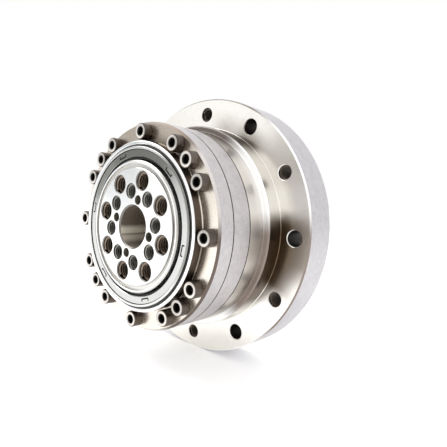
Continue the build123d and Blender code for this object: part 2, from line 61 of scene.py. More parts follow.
# Straight pieces in one turn of each kind of loop, and in the arc of a soft corner.
LATHE_STEPS = 192
HOLE_STEPS = 36
SCREW_STEPS = 48
THREAD_STEPS = 24
ARC_STEPS = 4

# Height, half foot and half crest of a thread's ridge, as shares of its pitch, and its hold in the wall.
RIDGE_HEIGHT = 0.54
RIDGE_FOOT = 0.27
RIDGE_CREST = 0.05
RIDGE_ROOT = 0.02

# Depth of a drill's point and radius of its tip, as shares of the hole's radius.
DRILL_POINT = 0.5
DRILL_TIP = 0.05

# From the CAD's axes (x, y, station) to the row frame.
AXIS_LEVEL = Matrix(((MM, 0, 0, 0), (0, 0, -MM, 0), (0, MM, 0, 0), (0, 0, 0, 1)))

Point = tuple[float, float]
Place = tuple[float, float, float]
Profile = Sequence[tuple[float, ...]]
Rim = tuple[float, float, list[int]]
Color = tuple[float, float, float]

WHITE: Color = (1.0, 1.0, 1.0)


def even_turns(count: int, start: float = 0.0) -> tuple[float, ...]:
    """Angles of an evenly spaced pattern.

    Args:
        count: How many there are in a full turn.
        start: The first angle, in degrees.

    Returns:
        The angles, in degrees.
    """
    return tuple(start + 360.0 * step / count for step in range(count))


def swings(steps: int) -> list[float]:
    """Angles of a full turn in even steps, in radians."""
    return [2 * math.pi * step / steps for step in range(steps)]


def polar(radius: float, swing: float, centre: Point = (0.0, 0.0)) -> Point:
    """The point at a radius and an angle in radians about a centre."""
    return (centre[0] + radius * math.cos(swing), centre[1] + radius * math.sin(swing))


def rounded(profile: Profile) -> list[Point]:
    """Turns the marked corners of a half section into arcs.

    Args:
        profile: Closed run of (radius, station) corners, or (radius, station, rounding) for a soft corner.

    Returns:
        Plain (radius, station) points.
    """
    points: list[Point] = []
    for index, corner in enumerate(profile):
        here = Vector(corner[:2])
        if len(corner) < 3:
            points.append((here.x, here.y))
            continue
        before = (Vector(profile[index - 1][:2]) - here).normalized()
        after = (Vector(profile[(index + 1) % len(profile)][:2]) - here).normalized()
        half = before.angle(after) / 2
        reach = corner[2] / math.tan(half)
        centre = here + (before + after).normalized() * corner[2] / math.sin(half)
        start = here + before * reach - centre
        turn = start.angle_signed(here + after * reach - centre)
        for step in range(ARC_STEPS + 1):
            swing = -turn * step / ARC_STEPS
            x = start.x * math.cos(swing) - start.y * math.sin(swing)
            y = start.x * math.sin(swing) + start.y * math.cos(swing)
            points.append((centre.x + x, centre.y + y))
    return points


def put_in_scene(name: str, data: bpy.types.ID) -> bpy.types.Object:
    """Makes an object of its data and links it to the scene."""
    made = bpy.data.objects.new(name, data)
    bpy.context.scene.collection.objects.link(made)
    return made


class Zone(Enum):
    """Kinds of surface on one piece, each with its own finish."""

    MAIN = 0
    HOLE = 1
    EDGE = 2
    OTHER = 3
    STEP = 4
    MOUTH = 5
    NECK = 6
    SHOULDER = 7


@dataclass(frozen=True)
class Hole:
    """A drilled circle of holes through, or into, a turned piece.

    The mouth is at the higher station, where the drill went in. A through hole ends at another flat face. The
    pitch is that of its thread, if it has one.
    """

    circle_r: float
    turns: tuple[float, ...]
    radius: float
    mouth: float
    end: float
    chamfer: float
    end_chamfer: float = 0.0
    through: bool = True
    zone: Zone = Zone.HOLE
    pitch: float = 0.0


class Shape:
    """A mesh under construction, in millimetres about the gear axis."""

    def __init__(self) -> None:
        """Starts an empty mesh."""
        self.points: list[Vector] = []
        self.faces: list[tuple[int, ...]] = []
        self.zones: list[int] = []
        self.zone = Zone.MAIN
        self.place = Matrix.Identity(4)

    def face(self, corners: Iterable[int]) -> None:
        """Adds one face in the zone that is set, such as the one that closes a loop."""
        self.faces.append(tuple(corners))
        self.zones.append(self.zone.value)

    def add(self, x: float, y: float, station: float) -> int:
        """Adds one point and returns its number."""
        self.points.append(self.place @ Vector((x, y, station)))
        return len(self.points) - 1

    def outline(self, flat: Iterable[Point], station: float) -> list[int]:
        """Adds a closed run of (x, y) points at one station."""
        return [self.add(x, y, station) for x, y in flat]

    def loop(self, radius: float, station: float, steps: int = LATHE_STEPS, ripple: float = 0.0) -> list[int]:
        """Adds a circle about the axis.

        Args:
            radius: Its radius.
            station: Place on the axis.
            steps: Points round the loop.
            ripple: Depth of a knurl, cut at every other point.

        Returns:
            The numbers of the points.
        """
        flat = [polar(radius - (ripple if step % 2 else 0.0), swing) for step, swing in enumerate(swings(steps))]
        return self.outline(flat, station)

    def rim(self, circle_r: float, turn: float, radius: float, station: float) -> list[int]:
        """Adds the rim of a hole that stands off the axis."""
        centre = polar(circle_r, math.radians(turn))
        return self.outline([polar(radius, swing, centre) for swing in swings(HOLE_STEPS)], station)

    def hexagon(self, width: float, station: float) -> list[int]:
        """Adds the outline of a hexagon socket, with as many points as the round mouth that it meets.

        Args:
            width: Distance over the flats.
            station: Height above the screw's seat.

        Returns:
            The numbers of the points.
        """
        third, sixth = math.pi / 3, math.pi / 6
        flat = [polar(width / 2 / math.cos(swing % third - sixth), swing) for swing in swings(SCREW_STEPS)]
        return self.outline(flat, station)

    def band(self, low: Sequence[int], high: Sequence[int]) -> None:
        """Joins two loops of equal length with quads."""
        count = len(low)
        for index in range(count):
            after = (index + 1) % count
            self.face((low[index], low[after], high[after], high[index]))

    def sheet(self, outer: Sequence[int], inner: Sequence[Sequence[int]]) -> None:
        """Fills a flat face that has holes in it.

        Args:
            outer: Loop round the face.
            inner: Loops of its holes.
        """
        loops = [list(outer)] + [list(hole) for hole in inner]
        numbers = [number for one in loops for number in one]
        corners = tessellate_polygon([[self.points[number] for number in one] for one in loops])
        for triangle in corners:
            self.face(numbers[corner] for corner in triangle)

    def turned(self, profile: Profile, holes: Sequence[Hole] = (),
               zone_at: Callable[[float, float], Zone] | None = None) -> None:
        """Adds a closed turned body, with drilled holes in its flat faces.

        Args:
            profile: Closed half section, as rounded() takes it.
            holes: Circles of holes.
            zone_at: Gives the zone of a band from the radius and station of its middle.
        """
        corners = rounded(profile)
        loops = [self.loop(radius, station) for radius, station in corners]
        rims = [rim for hole in holes for rim in self.drill(hole)]
        for index, (radius, station) in enumerate(corners):
            after = (index + 1) % len(corners)
            far_r, far_station = corners[after]
            low, high = sorted((radius, far_r))
            if zone_at:
                self.zone = zone_at((radius + far_r) / 2, (station + far_station) / 2)
            inside = []
            if abs(station - far_station) < SAME_LEVEL:
                inside = [rim for at, at_r, rim in rims if abs(at - station) < SAME_LEVEL and low < at_r < high]
            if inside:
                big, small = (loops[index], loops[after]) if radius > far_r else (loops[after], loops[index])
                self.sheet(big, [small] + inside)
            else:
                self.band(loops[index], loops[after])
        self.zone = Zone.MAIN

    def drill(self, hole: Hole) -> list[Rim]:
        """Adds the walls of a circle of holes.

        Args:
            hole: What is drilled.

        Returns:
            Station, circle's radius and points of each rim that a flat face leaves open.
        """
        rims: list[Rim] = []
        for turn in hole.turns:
            stages = [(hole.radius + hole.chamfer, hole.mouth), (hole.radius, hole.mouth - hole.chamfer)]
            if hole.end_chamfer:
                stages.append((hole.radius, hole.end + hole.end_chamfer))
            stages.append((hole.radius + hole.end_chamfer, hole.end))
            loops = [self.rim(hole.circle_r, turn, radius, station) for radius, station in stages]
            for (low_r, _), (high_r, _), low, high in zip(stages, stages[1:], loops, loops[1:]):
                self.zone = hole.zone if low_r == high_r else Zone.MOUTH
                self.band(low, high)
            rims.append((hole.mouth, hole.circle_r, loops[0]))
            if hole.through:
                rims.append((hole.end, hole.circle_r, loops[-1]))
            else:
                tip = hole.end - hole.radius * DRILL_POINT
                point = self.rim(hole.circle_r, turn, hole.radius * DRILL_TIP, tip)
                self.zone = hole.zone
                self.band(loops[-1], point)
                self.face(point)
        self.zone = Zone.MAIN
        return rims

    def thread(self, hole: Hole, low: float) -> None:
        """Adds the ridges of threaded holes up to their mouths' chamfers, each as a closed helical bar.

        Args:
            hole: The holes, whose walls the ridges grow from.
            low: Station where the threads start.
        """
        pitch, high = hole.pitch, hole.mouth - hole.chamfer
        foot, crest = hole.radius + RIDGE_ROOT, hole.radius - RIDGE_HEIGHT * pitch
        section = ((foot, -RIDGE_FOOT), (crest, -RIDGE_CREST), (crest, RIDGE_CREST), (foot, RIDGE_FOOT))
        for turn in hole.turns:
            centre = polar(hole.circle_r, math.radians(turn))
            rows = []
            for step in range(int((high - low - pitch) / pitch * THREAD_STEPS) + 1):
                swing = 2 * math.pi * step / THREAD_STEPS
                middle = low + pitch * (0.5 + step / THREAD_STEPS)
                rows.append([self.add(*polar(radius, swing, centre), middle + offset * pitch)
                             for radius, offset in section])
            for near, far in zip(rows, rows[1:]):
                self.band(near, far)
            self.face(rows[0])
            self.face(rows[-1])

    def finish(self, name: str) -> bpy.types.Object:
        """Makes the object, with outward faces, smooth turns and sharp edges.

        Args:
            name: What the piece is called.

        Returns:
            The new object, linked to the scene.
        """
        mesh = bpy.data.meshes.new(name)
        mesh.from_pydata([AXIS_LEVEL @ point for point in self.points], [], self.faces)
        mesh.polygons.foreach_set("material_index", self.zones)
        work = bmesh.new()
        work.from_mesh(mesh)
        bmesh.ops.remove_doubles(work, verts=work.verts, dist=WELD)
        bmesh.ops.recalc_face_normals(work, faces=work.faces)
        work.to_mesh(mesh)
        work.free()
        mesh.shade_smooth()
        mesh.set_sharp_from_angle(angle=SHARP_EDGE)
        piece = put_in_scene(name, mesh)
        weights = piece.modifiers.new("face_weights", "WEIGHTED_NORMAL")
        weights.keep_sharp = True
        log.info("%s: %d faces", name, len(mesh.polygons))
        return piece


class Value:
    """A shader socket that adds Math nodes when it is used in an expression."""

    def __init__(self, shader: "NodeTree", socket: bpy.types.NodeSocket) -> None:
        """Wraps one output socket of a tree."""
        self.shader = shader
        self.socket = socket

    def math(self, operation: str, *others: "Value | float") -> "Value":
        """Adds a Math node by its operation, with this value as the first operand."""
        return self.shader.math(operation, self, *others)

    def __add__(self, other: "Value | float") -> "Value":
        """This plus other."""
        return self.math("ADD", other)

    __radd__ = __add__

    def __sub__(self, other: "Value | float") -> "Value":
        """This minus other."""
        return self.math("SUBTRACT", other)

    def __rsub__(self, other: float) -> "Value":
        """Other minus this."""
        return self.shader.math("SUBTRACT", other, self)

    def __mul__(self, other: "Value | float") -> "Value":
        """This times other."""
        return self.math("MULTIPLY", other)

    __rmul__ = __mul__

    def ramp(self, low: float, high: float) -> "Value":
        """Smooth step from 0 at low to 1 at high."""
        settings = {"interpolation_type": "SMOOTHSTEP"}
        return self.shader.node("ShaderNodeMapRange", settings, {"Value": self, "From Min": low, "From Max": high})

    def near_zero(self, half_width: float, soft: float) -> "Value":
        """1 around 0, falling softly to 0 at the half width on both sides."""
        return 1.0 - self.math("ABSOLUTE").ramp(half_width - soft, half_width + soft)


class NodeTree:
    """A node tree with short ways to add its nodes."""

    def __init__(self, tree: bpy.types.NodeTree, shader: str) -> None:
        """Wraps a tree that ends in one shader node of the stated type."""
        self.tree = tree
        self.surface = next(n for n in tree.nodes if n.type == shader)

    def node(self, kind: str, settings: dict | None = None, inputs: dict | None = None,
             output: str | int = 0) -> Value:
        """Adds any node.

        Args:
            kind: Blender's node type.
            settings: Attributes to set first, such as an operation.
            inputs: Numbers, colours or Values for its sockets, by name or place.
            output: The output to return.

        Returns:
            The chosen output.
        """
        node = self.tree.nodes.new(kind)
        for name, value in (settings or {}).items():
            setattr(node, name, value)
        for key, value in (inputs or {}).items():
            self.feed(node.inputs[key], value)
        return Value(self, node.outputs[output])

    def math(self, operation: str, *operands: Value | float) -> Value:
        """Adds a Math node by its operation."""
        return self.node("ShaderNodeMath", {"operation": operation}, dict(enumerate(operands)))

    def feed(self, socket: bpy.types.NodeSocket, value: Value | float | Color) -> None:
        """Links a Value to a socket, or sets the socket; a colour gets its alpha here."""
        if isinstance(value, Value):
            self.tree.links.new(value.socket, socket)
        else:
            socket.default_value = (*value, 1.0) if isinstance(value, tuple) else value

    def set(self, **inputs: Value | float | Color) -> None:
        """Feeds the tree's shader; an underscore in a name stands for a space."""
        for name, value in inputs.items():
            self.feed(self.surface.inputs[name.replace("_", " ")], value)

    def mix(self, factor: Value | float, low: Value | Color, high: Value | Color) -> Value:
        """Mixes two colours."""
        inputs = {0: factor, 6: low, 7: high}
        return self.node("ShaderNodeMix", {"data_type": "RGBA"}, inputs, output=2)

    def vector(self, x: Value | float, y: Value | float, z: Value | float) -> Value:
        """Joins three values to a vector."""
        return self.node("ShaderNodeCombineXYZ", {}, {0: x, 1: y, 2: z})

    def split(self, vector: Value) -> list[Value]:
        """The three parts of a vector."""
        parts = self.node("ShaderNodeSeparateXYZ", {}, {0: vector}).socket.node
        return [Value(self, output) for output in parts.outputs]

    def noise(self, where: Value, scale: float, detail: float = 2.0, rough: float = 0.5) -> Value:
        """Noise from 0 to 1 at a place."""
        inputs = {"Vector": where, "Scale": scale, "Detail": detail, "Roughness": rough}
        return self.node("ShaderNodeTexNoise", {}, inputs)

    def where(self) -> Value:
        """The place on the piece, in metres."""
        return self.node("ShaderNodeTexCoord", output="Object")


class Shader(NodeTree):
    """A material's nodes."""

    def __init__(self, name: str) -> None:
        """Makes a material that ends in one Principled shader."""
        self.material = bpy.data.materials.new(name)
        self.material.use_nodes = True
        super().__init__(self.material.node_tree, "BSDF_PRINCIPLED")

    def bump(self, height: Value, strength: float, distance: float) -> Value:
        """Normal from a height that is 1 at the stated distance, in metres."""
        inputs = {"Strength": strength, "Distance": distance, "Height": height}
        return self.node("ShaderNodeBump", {}, inputs)

    def place(self) -> tuple[Value, Value, Value, Value]:
        """Radius and station in millimetres, turn about the gear axis in radians, and the plain place."""
        where = self.where()
        x, y, z = (part * (1.0 / MM) for part in self.split(where))
        radius = (x * x + z * z).math("SQRT")
        return radius, y, z.math("ARCTAN2", x), where


def shade(color: Color, factor: float) -> Color:
    """A lighter or darker tone of a colour."""
    return (color[0] * factor, color[1] * factor, color[2] * factor)


@dataclass(frozen=True)
class PaintedReflection:
    """A painted reflection: a soft darker wedge of turn angle on a turned surface's colour, standing in for the
    room that the steel mirrors; angles in degrees.

    Between the two radii of its fade, in millimetres, it dies away outwards.
    """

    turn: float
    half_width: float
    strength: float
    soft: float = 6.0
    tint: Color = (0.16, 0.125, 0.095)
    fade: tuple[float, float] | None = None


@dataclass(frozen=True)
class Surface:
    """A material by its base colour; each kind of surface adds its own nodes."""

    color: Color

    def build(self, name: str) -> bpy.types.Material:
        """Makes the material."""
        s = Shader(name)
        self.add_nodes(s)
        return s.material

    def add_nodes(self, s: Shader) -> None:
        """Adds the nodes."""
        raise NotImplementedError


@dataclass(frozen=True)
class TurnedSteel(Surface):
    """Lathe-turned or ground steel: fine rings round the axis, soft clouds, stains, a few dark pits and painted
    reflections by turn angle.
    """

    rough: float = 0.3
    rings: float = 6.0
    ring_depth: float = 0.0015
    clouds: float = 0.07
    pits: float = 0.0
    metal: float = 1.0
    painted_reflections: tuple[PaintedReflection, ...] = ()
    cloud_scale: float = 55.0
    stain_scale: float = 260.0
    pit_scale: float = 1500.0
    reflection_waver: float = 8.0

    def add_nodes(self, s: Shader) -> None:
        """Adds the nodes."""
        radius, station, turn, where = s.place()
        rings = s.noise(s.vector(radius * self.rings, station * self.rings, turn * 0.6), 1.0, 3.0, 0.65)
        fine = s.noise(s.vector(radius * self.rings * 5.0, station * self.rings * 5.0, turn * 3.0), 1.0, 1.0)
        clouds = s.noise(where, self.cloud_scale, 3.0, 0.6)
        stains = s.noise(where, self.stain_scale, 3.0, 0.6).ramp(0.55, 0.78)
        tone = clouds * 0.6 + rings * 0.4
        base = s.mix(tone, shade(self.color, 1.0 - self.clouds), shade(self.color, 1.0 + self.clouds))
        base = s.mix(stains * 0.3, base, shade(self.color, 0.86))
        # Painted reflections: each one darkens the base colour towards its tint within its wedge of turn angle.
        for reflection in self.painted_reflections:
            off = turn * math.degrees(1.0) + (clouds - 0.5) * self.reflection_waver - reflection.turn
            inside = off.math("WRAP", 180.0, -180.0).near_zero(reflection.half_width, reflection.soft)
            if reflection.fade:
                inside = inside * (1.0 - radius.ramp(*reflection.fade))
            base = s.mix(inside * reflection.strength, base, reflection.tint)
        if self.pits:
            pits = s.noise(where, self.pit_scale, 1.0, 0.5).ramp(0.68, 0.74)
            base = s.mix(pits * self.pits, base, shade(self.color, 0.4))
        rough = self.rough + (rings - 0.5) * 0.14 + (clouds - 0.5) * 0.12 + stains * 0.05
        height = rings * 0.7 + fine * 0.3
        s.set(Base_Color=base, Metallic=self.metal, Roughness=rough,
              Normal=s.bump(height, 0.6, self.ring_depth * MM))


@dataclass(frozen=True)
class SatinSteel(Surface):
    """Finely blasted steel: an even sparkle of grain with soft clouds."""

    rough: float = 0.48
    grain: float = 1800.0
    depth: float = 0.012

    def add_nodes(self, s: Shader) -> None:
        """Adds the nodes."""
        where = s.where()
        grain = s.noise(where, self.grain, 2.0, 0.7)
        blotch = s.noise(where, self.grain / 4.0, 3.0, 0.6)
        clouds = s.noise(where, 45.0, 3.0, 0.6)
        tone = grain * 0.45 + blotch * 0.35 + clouds * 0.2
        base = s.mix(tone.ramp(0.3, 0.7), shade(self.color, 0.86), shade(self.color, 1.12))
        rough = self.rough + (grain - 0.5) * 0.2 + (clouds - 0.5) * 0.1
        height = grain * 0.6 + blotch * 0.4
        s.set(Base_Color=base, Metallic=1.0, Roughness=rough, Normal=s.bump(height, 0.5, self.depth * MM))


@dataclass(frozen=True)
class PlainSteel(Surface):
    """Small steel parts: rolled or headed, with tumbled grain and slight discolour."""

    rough: float = 0.35
    grain: float = 900.0
    depth: float = 0.004
    metal: float = 1.0

    def add_nodes(self, s: Shader) -> None:
        """Adds the nodes."""
        where = s.where()
        grain = s.noise(where, self.grain, 3.0, 0.6)
        clouds = s.noise(where, self.grain / 6.0, 2.0, 0.5)
        base = s.mix(clouds.ramp(0.3, 0.7), shade(self.color, 0.8), shade(self.color, 1.15))
        rough = self.rough + (grain - 0.5) * 0.2 + (clouds - 0.5) * 0.12
        s.set(Base_Color=base, Metallic=self.metal, Roughness=rough,
              Normal=s.bump(grain, 0.4, self.depth * MM))


@dataclass(frozen=True)
class MouldedRubber(Surface):
    """Black moulded rubber with a faint bloom and a fine matt grain."""

    color: Color = (0.022, 0.022, 0.021)
    grain: float = 1600.0
    depth: float = 0.01

    def add_nodes(self, s: Shader) -> None:
        """Adds the nodes."""
        where = s.where()
        grain = s.noise(where, self.grain, 2.0, 0.6)
        bloom = s.noise(where, 140.0, 3.0, 0.6).ramp(0.45, 0.75)
        base = s.mix(bloom * 0.5, self.color, shade(self.color, 3.0))
        rough = 0.5 + grain * 0.15 + bloom * 0.1
        s.set(Base_Color=base, Roughness=rough, Normal=s.bump(grain, 0.4, self.depth * MM))


@dataclass(frozen=True)
class MouldedPlastic(Surface):
    """Natural nylon with a slight mottle."""

    color: Color = (0.62, 0.52, 0.34)
    grain: float = 1500.0
    depth: float = 0.01

    def add_nodes(self, s: Shader) -> None:
        """Adds the nodes."""
        where = s.where()
        mottle = s.noise(where, self.grain / 5.0, 3.0, 0.6)
        grain = s.noise(where, self.grain, 2.0, 0.5)
        base = s.mix(mottle, shade(self.color, 0.8), shade(self.color, 1.1))
        s.set(Base_Color=base, Roughness=0.4 + grain * 0.15, Normal=s.bump(grain, 0.3, self.depth * MM),
              Subsurface_Weight=0.1)


class Finish(Enum):
    """Every finish on the unit, by what wears it."""

    # The turned finishes carry painted reflections: dark wedges of turn angle on their base colour.
    HOUSING = TurnedSteel((0.9, 0.88, 0.83), 0.22, pits=0.2, painted_reflections=(
        PaintedReflection(-3.0, 12.0, 0.7, 6.0, (0.15, 0.11, 0.07)),
        PaintedReflection(-9.0, 19.0, 1.0, 5.0, (0.12, 0.085, 0.052), (38.0, 52.0)),
        PaintedReflection(36.0, 12.0, 0.3, 7.0, (0.2, 0.155, 0.095)),
        PaintedReflection(56.0, 8.0, 0.8, 6.0, (0.15, 0.12, 0.08), (38.0, 46.0)),
        PaintedReflection(73.0, 9.0, 0.45, 7.0, (0.2, 0.17, 0.12), (38.0, 46.0))))
    # Chamfers of the step and the flange edge: near-white steel with little metal, a painted highlight, with
    # painted reflections.
    STEP = TurnedSteel((0.95, 0.945, 0.93), 0.3, metal=0.3, painted_reflections=(
        PaintedReflection(84.0, 29.0, 0.95, 10.0, (0.12, 0.09, 0.07)),
        PaintedReflection(-20.0, 28.0, 0.92, 8.0, (0.17, 0.12, 0.09))))
    NECK = TurnedSteel((0.8, 0.775, 0.74), 0.33, rings=8.0, painted_reflections=(
        PaintedReflection(84.0, 28.0, 0.9, 12.0), PaintedReflection(93.0, 20.0, 0.75, 8.0, (0.06, 0.05, 0.04)),
        PaintedReflection(50.0, 7.0, 0.25), PaintedReflection(-4.0, 8.0, 0.25), PaintedReflection(-27.0, 8.0, 0.6),
        PaintedReflection(-49.0, 8.0, 0.6)))
    SHOULDER = TurnedSteel((0.92, 0.9, 0.86), 0.33, rings=8.0, painted_reflections=(
        PaintedReflection(70.0, 18.0, 1.0, 7.0, (0.05, 0.038, 0.028)),
        PaintedReflection(77.0, 12.0, 0.75, 6.0, (0.02, 0.015, 0.012)),
        PaintedReflection(97.0, 14.0, 0.8, 8.0, (0.12, 0.1, 0.08)),
        PaintedReflection(-17.0, 26.0, 1.0, 8.0, (0.12, 0.085, 0.06))))
    RIM = SatinSteel((0.54, 0.525, 0.54), 0.5)
    RING_OUTSIDE = SatinSteel((0.57, 0.545, 0.55), 0.47)
    RING_FACE = TurnedSteel((0.76, 0.7, 0.62), 0.26, painted_reflections=(
        PaintedReflection(90.0, 42.0, 0.5, 16.0, (0.2, 0.15, 0.105)),
        PaintedReflection(-22.0, 26.0, 0.8, 8.0, (0.1, 0.075, 0.05), (28.5, 33.0)),
        PaintedReflection(76.0, 14.0, 0.75, 8.0, (0.12, 0.1, 0.07), (28.5, 33.0))))
    RING_EDGE = TurnedSteel((0.66, 0.62, 0.59), 0.36, painted_reflections=(
        PaintedReflection(-30.0, 36.0, 0.92, 8.0, (0.09, 0.065, 0.05)),
        PaintedReflection(74.0, 26.0, 0.95, 8.0, (0.12, 0.09, 0.07))))
    OUTPUT = TurnedSteel((0.85, 0.85, 0.84), 0.24, rings=4.0, pits=0.1, painted_reflections=(
        PaintedReflection(118.0, 36.0, 0.35, 14.0, (0.4, 0.44, 0.46)),))
    # Hole walls near black: painted shade inside the holes.
    DRILLED = PlainSteel((0.045, 0.036, 0.03), 0.45)
    REAMED = PlainSteel((0.42, 0.4, 0.34), 0.5)
    BORED = TurnedSteel((0.92, 0.85, 0.72), 0.5, 5.0, 0.006, 0.35, 0.5, 0.35, painted_reflections=(
        PaintedReflection(115.0, 70.0, 0.9, 8.0, (0.1, 0.07, 0.05)),
        PaintedReflection(-153.0, 3.0, 0.6, 2.0), PaintedReflection(-130.0, 22.0, 0.25, 5.0),
        PaintedReflection(-90.0, 42.0, 0.85, 12.0, (0.11, 0.1, 0.075))))
    # The lip's outer wall: near-black brown, a painted dark reflection.
    LIP_WALL = PlainSteel((0.13, 0.1, 0.08), 0.4)
    # Dark joints between parts; on the seal it is painted shade in the crease and the marks.
    SEAM = PlainSteel((0.06, 0.048, 0.042), 0.6)
    # Thread ridges darkened brown and grey: painted shade inside the tapped holes.
    THREADS = PlainSteel((0.22, 0.17, 0.125), 0.3, metal=0.4)
    FLANGE_THREADS = PlainSteel((0.1, 0.08, 0.062), 0.35, 1500.0, 0.01, 0.6)
    FINE_THREADS = PlainSteel((0.27, 0.265, 0.235), 0.4, 1500.0, 0.01, 0.5)
    # Screw heads: the top ring in plain steel, the sides a darker copy as painted shade, the sockets near black as
    # painted shade.
    SCREWS = PlainSteel((0.6, 0.57, 0.53), 0.36)
    SCREW_SIDES = PlainSteel((0.115, 0.095, 0.08), 0.34)
    SOCKETS = PlainSteel((0.03, 0.028, 0.026), 0.5)
    SEAL_STEEL = TurnedSteel((0.5, 0.505, 0.49), 0.2, rings=3.0, clouds=0.15, painted_reflections=(
        PaintedReflection(88.0, 42.0, 0.8, 14.0, (0.1, 0.105, 0.09)),
        PaintedReflection(145.0, 17.0, 0.6, 9.0, (0.1, 0.105, 0.09))))
    SEAL_RIM = TurnedSteel((0.62, 0.625, 0.61), 0.2, rings=3.0, clouds=0.15, painted_reflections=(
        PaintedReflection(14.0, 44.0, 0.75, 12.0, (0.12, 0.12, 0.105)),))
    # Groove and outer edge of the output face: a darker copy of its steel, painted shade, with painted
    # reflections.
    GROOVE = TurnedSteel((0.6, 0.59, 0.56), 0.3, painted_reflections=(
        PaintedReflection(-5.0, 18.0, 0.45, 8.0, (0.22, 0.2, 0.17)),
        PaintedReflection(62.0, 22.0, 0.35, 8.0, (0.22, 0.22, 0.21))))
    # Chamfers of the output plate's holes and bore mouth: dark, painted shade.
    MOUTH = PlainSteel((0.2, 0.185, 0.17), 0.3)
    RUBBER = MouldedRubber()
    SPRING = PlainSteel((0.5, 0.5, 0.52), 0.3)
    SPLINE = TurnedSteel((0.5, 0.49, 0.48), 0.34)
    CUP = TurnedSteel((0.44, 0.43, 0.43), 0.3)
    RACES = TurnedSteel((0.66, 0.66, 0.67), 0.2, rings=8.0)
    CAGE = MouldedPlastic()
    HUB = TurnedSteel((0.34, 0.33, 0.325), 0.36)


class Workshop:
    """Dresses pieces: gives them their finish and body."""

    def __init__(self) -> None:
        """Makes every material once."""
        self.materials = {finish: finish.value.build(f"{finish.name.lower()}_finish") for finish in Finish}

    def dress(self, piece: bpy.types.Object, finishes: Sequence[Finish], body: str, slot: str,
              *replaces: str) -> None:
        """Finishes a new piece and ties it to the frame.

        Args:
            piece: The new object.
            finishes: What its zones look like, in the order of Zone.
            body: CAD body that it rides on.
            slot: Material slot of the record; not used.
            replaces: CAD nodes that it stands for.
        """
        for finish in finishes:
            piece.data.materials.append(self.materials[finish])
        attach(piece, body)
        if replaces:
            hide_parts(*replaces)

    def paint(self, node: str, finish: Finish) -> None:
        """Gives a CAD node that stays its finish."""
        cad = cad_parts[node]
        if not cad.material_slots:
            cad.data.materials.append(None)
        for place in cad.material_slots:
            place.link = "OBJECT"
            place.material = self.materials[finish]
        log.info("%s keeps its CAD shape", node)


@dataclass
class MountingHousing:
    """Flanged housing with its shoulder and neck, and the threads of its flange."""

    flange_r: float = 49.0
    flange_front: float = 13.7
    shoulder_r: float = 37.7
    shoulder_front: float = 20.5
    body_r: float = 35.5
    neck_front: float = 27.8
    cavity_r: float = 27.8
    recess_r: float = 35.0
    recess_floor: float = 14.0
    pilot_r: float = 36.0
    pilot_floor: float = 3.0
    root: float = 0.1
    edge: float = 0.5
    seam: float = 0.22
    groove_r: float = 38.0
    groove_half: float = 0.65
    groove_depth: float = 1.25
    mouth: float = 0.25
    plain: Hole = Hole(43.1, even_turns(6), 2.75, flange_front, 0.0, mouth, mouth)
    tapped: Hole = Hole(43.1, even_turns(6, 30.0), 2.5, flange_front, 0.0, mouth, mouth, pitch=0.8)

    def profile(self) -> Profile:
        """Half section of the housing."""
        edge, seam, groove, half = self.edge, self.seam, self.groove_r, self.groove_half
        flange, front, shoulder, body = self.flange_r, self.flange_front, self.shoulder_r, self.body_r
        return (
            (self.pilot_r + edge, 0.0), (groove - half, 0.0), (groove - half, self.groove_depth),
            (groove + half, self.groove_depth), (groove + half, 0.0), (flange - edge, 0.0), (flange, edge),
            (flange, front - edge), (flange - edge, front), (shoulder, front, 0.35),
            (shoulder, self.shoulder_front - edge), (shoulder - edge, self.shoulder_front),
            (body, self.shoulder_front, 0.4), (body, self.neck_front - seam), (body - seam, self.neck_front),
            (self.cavity_r, self.neck_front), (self.cavity_r, self.recess_floor),
            (self.recess_r, self.recess_floor), (self.recess_r, self.pilot_floor),
            (self.pilot_r, self.pilot_floor), (self.pilot_r, edge),
        )

    def zone_at(self, radius: float, station: float) -> Zone:
        """Dark seam at the neck's front edge, satin rim, step and flange edge with a painted highlight, turned
        faces.
        """
        if self.flange_front + self.root < station < self.shoulder_front - self.edge and radius > self.body_r:
            return Zone.SHOULDER
        if radius > self.flange_r - NEAR:
            return Zone.OTHER
        if radius > self.flange_r - self.edge and station > self.edge:
            return Zone.STEP
        if abs(station - self.shoulder_front) < self.edge and radius > self.body_r + self.root / 2:
            return Zone.STEP
        if self.shoulder_front < station < self.neck_front - self.seam and radius > self.body_r - self.root:
            return Zone.NECK
        near_seam = radius > self.body_r - self.seam and self.neck_front - self.seam < station < self.neck_front
        return Zone.EDGE if near_seam and radius < self.body_r else Zone.MAIN

    def build(self, shop: Workshop) -> None:
        """Makes and dresses the housing and its threads."""
        shape = Shape()
        shape.turned(self.profile(), (self.plain, self.tapped), self.zone_at)
        finishes = [Finish.HOUSING, Finish.DRILLED, Finish.SEAM, Finish.RIM, Finish.STEP, Finish.NECK,
                    Finish.NECK, Finish.SHOULDER]
        shop.dress(shape.finish("flanged_housing"), finishes, "housing", "housing_steel", "mounting_housing")
        ridges = Shape()
        ridges.thread(self.tapped, self.mouth)
        shop.dress(ridges.finish("flange_threads"), [Finish.FLANGE_THREADS], "housing", "housing_steel")


